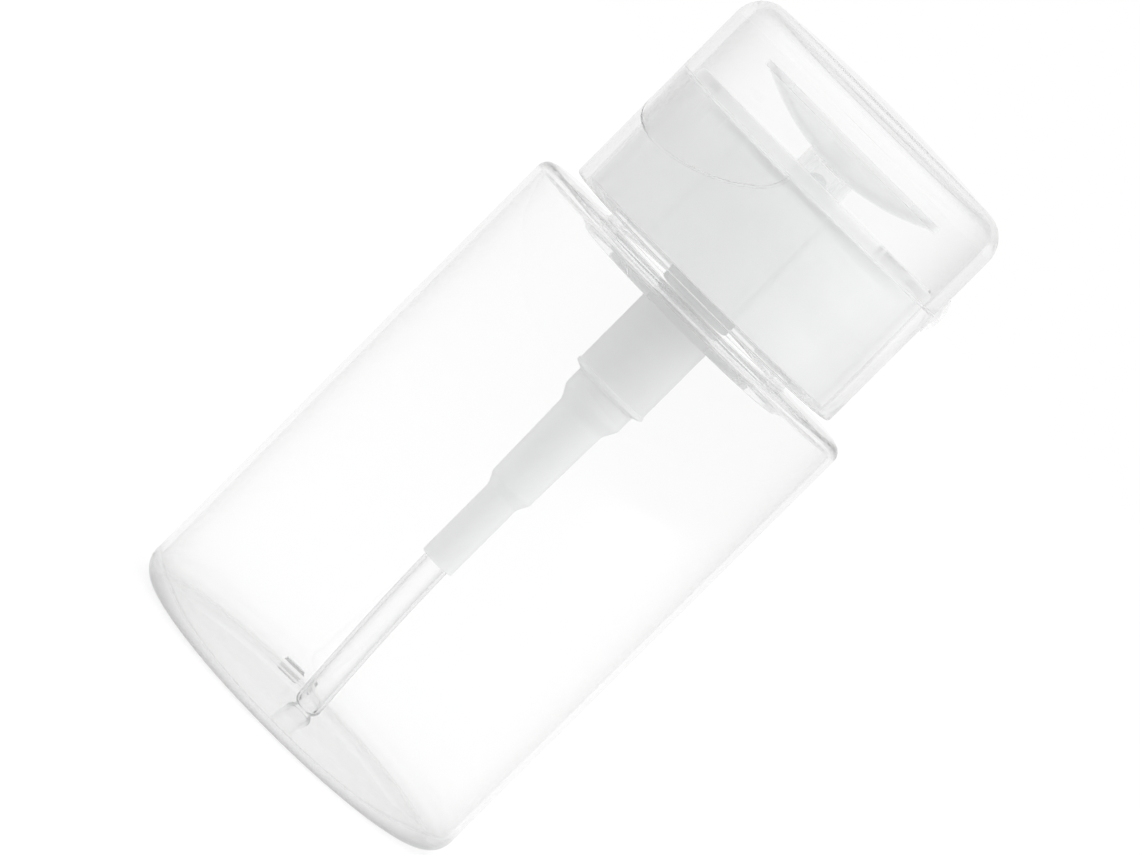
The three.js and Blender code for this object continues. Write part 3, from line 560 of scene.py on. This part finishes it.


# rim_shade is painted shade on each clear finish: its colour darkens where the surface is seen at a glancing
# angle.
BOTTLE_CLEAR = clear_plastic(
    "bottle clear", ior=1.57, color=(0.96, 0.96, 0.96), rim_shade=0.34, density=0.3, spread=5.0,
    heel_shade=0.65, loss=0.03, slant_loss=0.25,
)
CAP_CLEAR = clear_plastic(
    "cap clear", ior=1.5, color=(0.98, 0.98, 0.98), rim_shade=0.32, density=0.6, roughness=0.02,
)
# The cap's clear plastic with far more painted rim shade, so that the strap's outline shows darker.
STRAP_CLEAR_PAINTED_RIM = clear_plastic(
    "strap clear", ior=1.5, color=(0.97, 0.97, 0.97), rim_shade=0.7, density=0.6, roughness=0.02,
)
TUBE_CLEAR = clear_plastic(
    "tube clear", ior=1.5, color=(0.985, 0.985, 0.985), rim_shade=0.33, density=3.0, roughness=0.03,
    spread=1.4,
)
VALVE_GLASS = clear_plastic(
    "valve glass", ior=1.52, color=(0.97, 0.99, 0.985), rim_shade=0.1, density=3.0, tint=(0.2, 0.6, 0.5),
)
PUMP_WHITE = milky_plastic(
    "pump white", (0.91, 0.915, 0.915), roughness=0.45, clearness=0.1, glow=0.2,
)
COLLAR_WHITE = milky_plastic(
    "collar white", (0.965, 0.97, 0.97), roughness=0.4, clearness=0.13, glow=0.25,
)
SHELL_WHITE = milky_plastic(
    "shell white", (0.975, 0.98, 0.98), roughness=0.4, clearness=0.7, glow=0.25, density=28.0,
)
DISH_WHITE = milky_plastic(
    "dish white", (0.965, 0.97, 0.97), roughness=0.35, clearness=0.8, glow=0.25, density=30.0,
)
STEM_NATURAL = milky_plastic(
    "natural stem", (0.96, 0.965, 0.965), roughness=0.35, clearness=0.8, glow=0.3, density=3.0,
)
SEAL_WHITE = milky_plastic(
    "seal white", (0.93, 0.93, 0.915), roughness=0.55, clearness=0.1, glow=0.3,
)
SPRING_STEEL = drawn_steel("spring steel")


# Bottle

def bottle():
    push_up, ring_radius, wall = 0.8, 19, 0.8
    neck, bore, mouth = 15.25, 13.4, 86.2
    neck_ring, neck_ring_foot, slope, slope_foot = 16.5, 69.2, 17.55, 70.8
    outline = [
        *dome(push_up, ring_radius, push_up), (BOTTLE_RADIUS, 0, HEEL), (BOTTLE_RADIUS, SHOULDER, 1.7),
        (neck, SHOULDER, 0.5), (neck, mouth, 0.4), (bore, mouth, 0.4), (bore, neck_ring_foot, 0.3),
        (neck_ring, neck_ring_foot, 0.3), (slope, slope_foot, 0.6),
        (BOTTLE_RADIUS - wall, SHOULDER - wall, 0.9), (BOTTLE_RADIUS - wall, wall, 3),
        *reversed(dome(push_up + wall, ring_radius, push_up)),
    ]
    glass = turned(outline, WALL_SIDES, 8)
    ridge = thread_ridge(neck - THREAD_SET, neck + THREAD_DEPTH, THREAD_START)
    notch_width, notch_top, notch_bottom, notch_turn = 4.2, 3.1, 5.3, math.radians(152.2)
    notch = block(3, notch_width, 2.2, (26.1, 0, 0))
    for vert in notch.verts:
        vert.co.y *= (notch_top if vert.co.z > 0 else notch_bottom) / notch_width
    bmesh.ops.rotate(notch, cent=CENTRE, matrix=Matrix.Rotation(notch_turn, 3, "Z"), verts=notch.verts)
    glass = combined(combined(glass, [ridge], "UNION"), [notch], "DIFFERENCE")
    finish_piece("bottle", glass, "bottle", ["bottle"], BOTTLE_CLEAR)


# Pump

DRIFT_TURN = math.radians(54)  # the way that the dip tube drifts


def gasket():
    bore, outer, foot, top = 13.7, 15.3, 86.4, 87.2
    seal = ring(bore, outer, foot, top, CAP_SIDES, 0.15)
    finish_piece("neck_gasket", seal, "pump", ["neck_gasket"], SEAL_WHITE)


def pump_housing():
    """Flange, cylinder with a lip, step, ball chamber and the dip tube's socket, from the top down."""
    flange, flange_foot, flange_top = 15.9, 87.4, 88.4
    bore, cylinder, cylinder_foot = 4.55, 5.45, 57.4
    lip, lip_foot, lip_slope_foot, lip_top = 5.6, 56.9, 56.4, 57.5
    step_bore, step, step_foot = 3.6, 4.5, 53.9
    chamber_bore, chamber, chamber_top = 2.75, 3.5, 52.1
    chamber_end_bore, chamber_end, chamber_foot = 2.5, 3.25, 39.7
    seat, seat_top = 1.45, 38.95
    socket_bore, socket, socket_top, socket_foot = 2.05, 2.45, 38.1, 26.5
    outline = [
        (flange, flange_top, 0.2), (bore, flange_top, 0.15), (bore, cylinder_foot),
        (step_bore, cylinder_foot), (step_bore, step_foot, 0.8), (chamber_bore, chamber_top, 1.2),
        (chamber_end_bore, chamber_foot, 0.6),
        (seat, seat_top), (seat, socket_top), (socket_bore, socket_top), (socket_bore, socket_foot, 0.1),
        (socket, socket_foot, 0.1), (socket, socket_top, 1.5), (chamber_end, chamber_foot, 1.2),
        (chamber, chamber_top, 2.0), (step, step_foot, 1.0), (step, lip_slope_foot, 0.2),
        (lip, lip_foot, 0.12), (lip, cylinder_foot, 0.12), (cylinder, lip_top, 0.1),
        (cylinder, flange_foot, 0.3), (flange, flange_foot, 0.2),
    ]
    vent_radius, vent_length, vent_height = 0.5, 7, 78.6
    vent = drill(vent_radius, vent_length, (vent_length / 2, 0, vent_height))
    barrel = combined(turned(outline, PUMP_SIDES, 5), [vent], "DIFFERENCE")
    finish_piece("pump_housing", barrel, "pump", ["pump_housing"], PUMP_WHITE)


def valve_ball(name, radius, height, body):
    bm = bmesh.new()
    place = Matrix.Translation((0, 0, height))
    bmesh.ops.create_uvsphere(bm, u_segments=40, v_segments=24, radius=radius, matrix=place)
    finish_piece(name, bm, body, [name], VALVE_GLASS, 180)


def ball_stop():
    """Short tube with crossed slots in its lower end, so that the ball can't close it."""
    bore, tube, flange = 1.5, 2.3, 3.45
    end, flange_foot, top = 43.25, 54.1, 54.9
    outline = [
        (bore, end, 0.1), (tube, end, 0.15), (tube, flange_foot, 0.2), (flange, flange_foot, 0.1),
        (flange, top, 0.1), (bore, top, 0.15),
    ]
    length, width, height = 8, 0.9, 1.6
    slots = [block(length, width, height, (0, 0, end), quarter) for quarter in (0, math.pi / 2)]
    stop = combined(turned(outline, PUMP_SIDES, 3), slots, "DIFFERENCE")
    finish_piece("ball_stop", stop, "pump", ["ball_stop"], PUMP_WHITE)


def dip_tube():
    """Tube that leaves its socket straight, drifts sideways and ends in a notch just above the floor."""
    top, bottom, drift, outer, wall = 37.9, 1.8, 1.2, 1.9, 0.45
    straight, bend, levels = 0.3, 1.6, 36
    notch_length, notch_width, notch_height, notch_drop = 12, 4.1, 2.83, 1
    heights = [top + (bottom - top) * step / levels for step in range(levels + 1)]
    outline = [(outer, height) for height in heights]
    outline += [(outer - wall, height) for height in reversed(heights)]
    notch = bmesh.new()
    bmesh.ops.create_cube(notch, size=1)
    bmesh.ops.rotate(notch, cent=CENTRE, matrix=Matrix.Rotation(math.pi / 4, 3, "X"), verts=notch.verts)
    bmesh.ops.scale(notch, vec=(notch_length, notch_width, notch_height), verts=notch.verts)
    bmesh.ops.translate(notch, vec=(0, 0, bottom - notch_drop), verts=notch.verts)
    tube = combined(turned(outline, PUMP_SIDES), [notch], "DIFFERENCE")
    for vert in tube.verts:
        along = (top - vert.co.z) / (top - bottom)
        vert.co.x += drift * max(0, (along - straight) / (1 - straight)) ** bend
    bmesh.ops.rotate(tube, cent=CENTRE, matrix=Matrix.Rotation(DRIFT_TURN, 3, "Z"), verts=tube.verts)
    finish_piece("dip_tube", tube, "pump", ["dip_tube"], TUBE_CLEAR)


def stem_guide():
    """Flanged tube in the housing's top, bored for the dish's sleeve, the stem and the stem's seal."""
    outer, flange, sleeve_bore, stem_bore, seal_bore = 4.4, 7, 4.05, 3.05, 3.9
    foot, seal_top, sleeve_foot, flange_foot, top = 80, 81.1, 84.6, 88.6, 89.4
    outline = [
        (outer, foot, 0.2), (outer, flange_foot), (flange, flange_foot, 0.1), (flange, top, 0.2),
        (sleeve_bore, top, 0.2), (sleeve_bore, sleeve_foot), (stem_bore, sleeve_foot, 0.1),
        (stem_bore, seal_top), (seal_bore, seal_top), (seal_bore, foot, 0.1),
    ]
    guide = turned(outline, PUMP_SIDES, 3)
    finish_piece("stem_guide", guide, "pump", ["stem_guide"], PUMP_WHITE)


def stem_seal():
    bore, outer, foot, top = 2.9, 3.75, 80, 80.9
    seal = ring(bore, outer, foot, top, PUMP_SIDES, 0.15)
    finish_piece("stem_seal", seal, "pump", ["stem_seal"], SEAL_WHITE)


def return_spring():
    """Eight turns of wire, the first and last lying closed."""
    coil, wire, bottom, top, closed = 4.075, 0.3, 57.9, 73.6, 0.8
    steps = 36
    bm = bmesh.new()
    bmesh.ops.create_circle(
        bm, cap_ends=True, segments=14, radius=wire,
        matrix=Matrix.Translation((coil, 0, bottom)) @ Matrix.Rotation(math.pi / 2, 4, "X"),
    )
    geom = [*bm.verts, *bm.edges, *bm.faces]
    for turns, rise in ((1, closed), (6, top - bottom - 2 * closed), (1, closed)):
        made = bmesh.ops.spin(
            bm, geom=geom, cent=CENTRE, axis=UP, angle=turns * WHOLE_TURN,
            steps=turns * steps, dvec=(0, 0, rise / (turns * steps)),
        )
        geom = made["geom_last"]
    bmesh.ops.recalc_face_normals(bm, faces=bm.faces)
    spring = finish_piece("return_spring", bm, "pump", ["return_spring"], SPRING_STEEL)
    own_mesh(spring)


# What travels with the dish

def pump_stem():
    """Hollow stem with cross holes near its foot and the upper ball's seat and chamber at its top."""
    outer, bore, seat, chamber = 2.75, 1.4, 1.15, 2.075
    foot, seat_foot, seat_top, top = 75.1, 90.5, 92.1, 95.9
    outline = [
        (outer, foot, 0.2), (outer, top, 0.2), (chamber, top, 0.1), (chamber, seat_top), (seat, seat_top),
        (seat, seat_foot), (bore, seat_foot), (bore, foot, 0.1),
    ]
    hole_radius, hole_length, hole_height = 0.6, 8, 76.3
    hole = drill(hole_radius, hole_length, (0, 0, hole_height))
    stem = combined(turned(outline, PUMP_SIDES, 3), [hole], "DIFFERENCE")
    finish_piece("pump_stem", stem, "plunger", ["pump_stem"], STEM_NATURAL)


def piston_rod():
    flange, shaft = 4.25, 1.1
    foot, flange_top, top = 74.1, 74.9, 82.9
    outline = [
        (0, foot), (flange, foot, 0.15), (flange, flange_top, 0.15), (shaft, flange_top, 0.3),
        (shaft, top, 0.3), (0, top),
    ]
    rod = turned(outline, PUMP_SIDES, 3)
    finish_piece("piston_rod", rod, "plunger", ["piston_rod"], PUMP_WHITE)


def piston():
    """Hourglass seal with a lip at each end."""
    bore, lip, waist, foot, top = 2.9, 4.4, 3.5, 75.1, 79.8
    bevel, taper = 0.4, 1.57
    outline = [
        (bore, foot), (lip - bevel, foot, 0.1), (lip, foot + bevel, 0.1), (waist, foot + taper, 0.8),
        (waist, top - taper, 0.8), (lip, top - bevel, 0.1), (lip - bevel, top, 0.1), (bore, top),
    ]
    seal = turned(outline, PUMP_SIDES, 4)
    finish_piece("piston", seal, "plunger", ["piston"], SEAL_WHITE)


def press_dish():
    """Spherical bowl with a hole in the middle, and a sleeve round the stem."""
    sphere, lowest, thickness = 32.27, 97.0, 0.9
    underside = lowest - thickness
    rim, mouth, under_mouth, rim_top, rim_foot = 14.9, 13.8, 14.1, 100.1, 99.23
    hole, hole_foot = 1.6, 96.14
    sleeve, sleeve_bore, sleeve_foot = 3.75, 2.9, 88.6
    outline = [
        (hole, hole_foot), *bowl(lowest, sphere, hole, mouth), (rim, rim_top, 0.12), (rim, rim_foot, 0.12),
        *reversed(bowl(underside, sphere + thickness, sleeve, under_mouth)), (sleeve, sleeve_foot, 0.15),
        (sleeve_bore, sleeve_foot, 0.15), (sleeve_bore, underside),
    ]
    dish = turned(outline, CAP_SIDES, 3)
    finish_piece("press_dish", dish, "plunger", ["press_dish"], DISH_WHITE)


def outlet_hub():
    """Button over the dish's hole, with four slots that let the liquid out."""
    plug, head, foot, head_foot, top = 1.45, 2.3, 96, 97.2, 98.8
    outline = [
        (0, foot), (plug, foot, 0.15), (plug, head_foot), (head, head_foot, 0.1), (head, top, 0.3), (0, top),
    ]
    start, length, width, height, middle = 0.7, 6.6, 0.8, 3.6, 95.9
    place = (start + length / 2, 0, middle)
    slots = [block(length, width, height, place, quarter * math.pi / 2) for quarter in range(4)]
    hub = combined(turned(outline, PUMP_SIDES, 4), slots, "DIFFERENCE")
    finish_piece("outlet_hub", hub, "plunger", ["outlet_hub"], DISH_WHITE)


# Closure

def threaded_collar():
    outer, bore, opening, plate_foot, top = 17.7, 16.5, 7.3, 88.6, 89.8
    bead, bead_top, bead_foot, bead_slope_foot = 15.65, 87.2, 86.6, 86.0
    outline = [
        (outer, COLLAR_FOOT, 0.2), (outer, top, 0.4), (opening, top, 0.2), (opening, plate_foot, 0.2),
        (bore, plate_foot, 0.3), (bore, bead_top), (bead, bead_top, 0.1), (bead, bead_foot, 0.1),
        (bore, bead_slope_foot), (bore, COLLAR_FOOT, 0.2),
    ]
    ridge = thread_ridge(bore + THREAD_SET, bore - THREAD_DEPTH, THREAD_START + PITCH / 2)
    collar = combined(turned(outline, CAP_SIDES, 4), [ridge], "UNION")
    finish_piece("threaded_collar", collar, "closure", ["threaded_collar"], COLLAR_WHITE)


def deck_shell():
    """Outer wall, rim and sunken deck, with ribs between the rim's two walls."""
    outer, rim, hole, wall = 20.1, 16.6, 4.15, 1.2
    rim_top, deck_top = 93.8, 91.2
    under_rim, under_deck = rim_top - wall, deck_top - wall
    outline = [
        (outer, COLLAR_FOOT, 0.2), (outer, rim_top, 0.5), (rim, rim_top, 0.5), (rim, deck_top, 0.3),
        (hole, deck_top, 0.2), (hole, under_deck, 0.2), (rim + wall, under_deck, 0.3),
        (rim + wall, under_rim, 0.2), (outer - wall, under_rim, 0.2), (outer - wall, COLLAR_FOOT, 0.2),
    ]
    near, far, rib_width, rib_count = 17.85, outer - wall / 2, 1, 8
    height = rim_top - wall / 2 - COLLAR_FOOT
    place = ((near + far) / 2, 0, COLLAR_FOOT + height / 2)
    ribs = [
        block(far - near, rib_width, height, place, (index + 0.5) * WHOLE_TURN / rib_count)
        for index in range(rib_count)
    ]
    shell = combined(turned(outline, CAP_SIDES, 5), ribs, "UNION")
    finish_piece("deck_shell", shell, "closure", ["deck_shell"], SHELL_WHITE)


def outer_skirt():
    """Clear ring with a recess for the lid's tab and a flat pad at the hinge."""
    foot, top, edge = 73.4, PARTING - PARTING_GAP / 2, 0.12
    outline = [
        (SKIRT_INNER, foot, 0.1), (SKIRT_OUTER, foot, 0.4),
        (SKIRT_OUTER, top, edge), (SKIRT_INNER, top, edge),
    ]
    recess_floor, low, high = 21.25, 73, 94
    behind = turned([(0, low), (recess_floor, low), (recess_floor, high), (0, high)], WALL_SIDES)
    recess = combined(tab_tool(0.3, TAB_RISE), [behind], "DIFFERENCE")
    wall = combined(turned(outline, WALL_SIDES), [recess], "DIFFERENCE")
    wall = with_hinge_pad(wall, PARTING - HINGE_PAD_REACH, top)
    finish_piece("outer_skirt", wall, "closure", ["outer_skirt"], CAP_CLEAR)


def flip_lid():
    """Clear lid with a low dome, a thumb tab in front and a flat pad at the hinge."""
    bottom, top, fall, top_wall = PARTING + PARTING_GAP / 2, 106.5, 0.8, 1
    corner, wall, slack, edge = 4.35, SKIRT_OUTER - SKIRT_INNER, 0.01, 0.12
    flat_radius, corner_height = SKIRT_OUTER - corner, top - fall
    outline = [
        *dome(top, flat_radius, fall), (SKIRT_OUTER, corner_height, corner - slack),
        (SKIRT_OUTER, bottom, edge), (SKIRT_INNER, bottom, edge),
        (SKIRT_INNER, corner_height - top_wall, corner - wall - slack),
        *reversed(dome(top - top_wall, flat_radius, fall)),
    ]
    shell = turned(outline, WALL_SIDES, 10)
    tab_inner, low, high = 21.45, 80, 93.6
    band = turned([(tab_inner, low), (SKIRT_OUTER, low), (SKIRT_OUTER, high), (tab_inner, high)], WALL_SIDES)
    tab = combined(band, [tab_tool(0, TAB_RISE)], "INTERSECT")
    lid = with_hinge_pad(combined(shell, [tab], "UNION"), bottom, PARTING + HINGE_PAD_REACH)
    finish_piece("flip_lid", lid, "lid", ["flip_lid"], CAP_CLEAR)


def hinge_strap():
    """Bowed strap across the parting line. The real strap bends as the lid opens; this one keeps its closed
    shape.
    """
    foot, half, bulge, thickness = SKIRT_OUTER, HINGE_PAD_REACH, 1.0, 0.5
    half_width, half_hollow, steps = 7.8, 1.2, 24

    def bow(reach, share):
        return foot + 4 * reach * share * (1 - share)

    bm = bmesh.new()
    shares = [step / steps for step in range(steps + 1)]
    outer = [(bow(bulge, share), PARTING - half + 2 * half * share) for share in shares]
    inner = []
    for y, z in reversed(outer):
        share = min(1, max(0, (z - PARTING + half_hollow) / (2 * half_hollow)))
        inner.append((bow(bulge - thickness, share) if 0 < share < 1 else foot, z))
    verts = [bm.verts.new((-half_width, y, z)) for y, z in outer + inner[1:-1]]
    bm.faces.new(verts)
    pulled = bmesh.ops.extrude_face_region(bm, geom=list(bm.faces))
    moved = [item for item in pulled["geom"] if isinstance(item, bmesh.types.BMVert)]
    bmesh.ops.translate(bm, vec=(2 * half_width, 0, 0), verts=moved)
    bmesh.ops.recalc_face_normals(bm, faces=bm.faces)
    strap = finish_piece("hinge_strap", bm, None, ["hinge_strap"], STRAP_CLEAR_PAINTED_RIM)
    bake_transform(strap)


bottle()
gasket()
pump_housing()
valve_ball("inlet_ball", radius=2.0, height=40.53, body="inlet_ball")
ball_stop()
dip_tube()
stem_guide()
stem_seal()
return_spring()
pump_stem()
piston_rod()
piston()
valve_ball("outlet_ball", radius=1.6, height=93.41, body="outlet_ball")
press_dish()
outlet_hub()
threaded_collar()
deck_shell()
outer_skirt()
flip_lid()
hinge_strap()


# Studio: white room, pale floor and one soft lamp

FLOOR_GLOW = 0.17  # seen only, so the floor is white and still takes a shadow
FLOOR_DROP = 0.00005


def seen_directly(nodes, links):
    """1 for rays from the camera, from glossy and from clear surfaces, 0 for the rest."""
    path = nodes.new("ShaderNodeLightPath")
    seen = path.outputs["Is Camera Ray"]
    for name in ("Is Glossy Ray", "Is Transmission Ray"):
        seen = maths(nodes, links, "MAXIMUM", seen, path.outputs[name])
    return seen


def white_room():
    world = bpy.data.worlds.new("white room")
    bpy.context.scene.world = world
    world.use_nodes = True
    nodes, links = world.node_tree.nodes, world.node_tree.links
    nodes.clear()
    light = nodes.new("ShaderNodeBackground")
    light.inputs["Color"].default_value = (1, 1, 1, 1)
    light.inputs["Strength"].default_value = 1
    out = nodes.new("ShaderNodeOutputWorld")
    links.new(light.outputs[0], out.inputs["Surface"])


def floor():
    bm = bmesh.new()
    bmesh.ops.create_grid(bm, x_segments=1, y_segments=1, size=4)
    mesh = bpy.data.meshes.new("floor")
    bm.to_mesh(mesh)
    bm.free()
    plane = bpy.data.objects.new("floor", mesh)
    bpy.context.scene.collection.objects.link(plane)
    plane.location.z = -FLOOR_DROP
    material, nodes, links = material_tree("studio floor")
    matte = nodes.new("ShaderNodeBsdfDiffuse")
    matte.inputs["Color"].default_value = (0.85, 0.85, 0.85, 1)
    glow = nodes.new("ShaderNodeEmission")
    glow.inputs["Color"].default_value = (1, 1, 1, 1)
    strength = maths(nodes, links, "MULTIPLY", seen_directly(nodes, links), FLOOR_GLOW)
    links.new(strength, glow.inputs["Strength"])
    both = nodes.new("ShaderNodeAddShader")
    links.new(matte.outputs[0], both.inputs[0])
    links.new(glow.outputs[0], both.inputs[1])
    out = nodes.new("ShaderNodeOutputMaterial")
    links.new(both.outputs[0], out.inputs["Surface"])
    mesh.materials.append(material)


def soft_lamp(name, place, size, power):
    lamp = bpy.data.objects.new(name, bpy.data.lights.new(name, "AREA"))
    bpy.context.scene.collection.objects.link(lamp)
    lamp.data.shape = "DISK"
    lamp.data.size = size
    lamp.data.energy = power
    lamp.location = place
    lamp.rotation_euler = (CAMERA_AIM - Vector(place)).to_track_quat("-Z", "Y").to_euler()
    lamp.visible_camera = False
    lamp.visible_glossy = False
    lamp.visible_transmission = False


white_room()
floor()
soft_lamp("right lamp", place=(0.9, 0.6, 0.5), size=0.6, power=3.0)

CLEAR_BOUNCES = 256  # light caught in the clear walls turns dark with fewer

scene = bpy.context.scene
scene.view_settings.view_transform = "Standard"
scene.cycles.max_bounces = CLEAR_BOUNCES
scene.cycles.diffuse_bounces = 16
scene.cycles.glossy_bounces = CLEAR_BOUNCES
scene.cycles.transmission_bounces = CLEAR_BOUNCES
scene.cycles.transparent_max_bounces = CLEAR_BOUNCES
scene.cycles.caustics_reflective = False
scene.cycles.caustics_refractive = False
scene.cycles.use_denoising = True
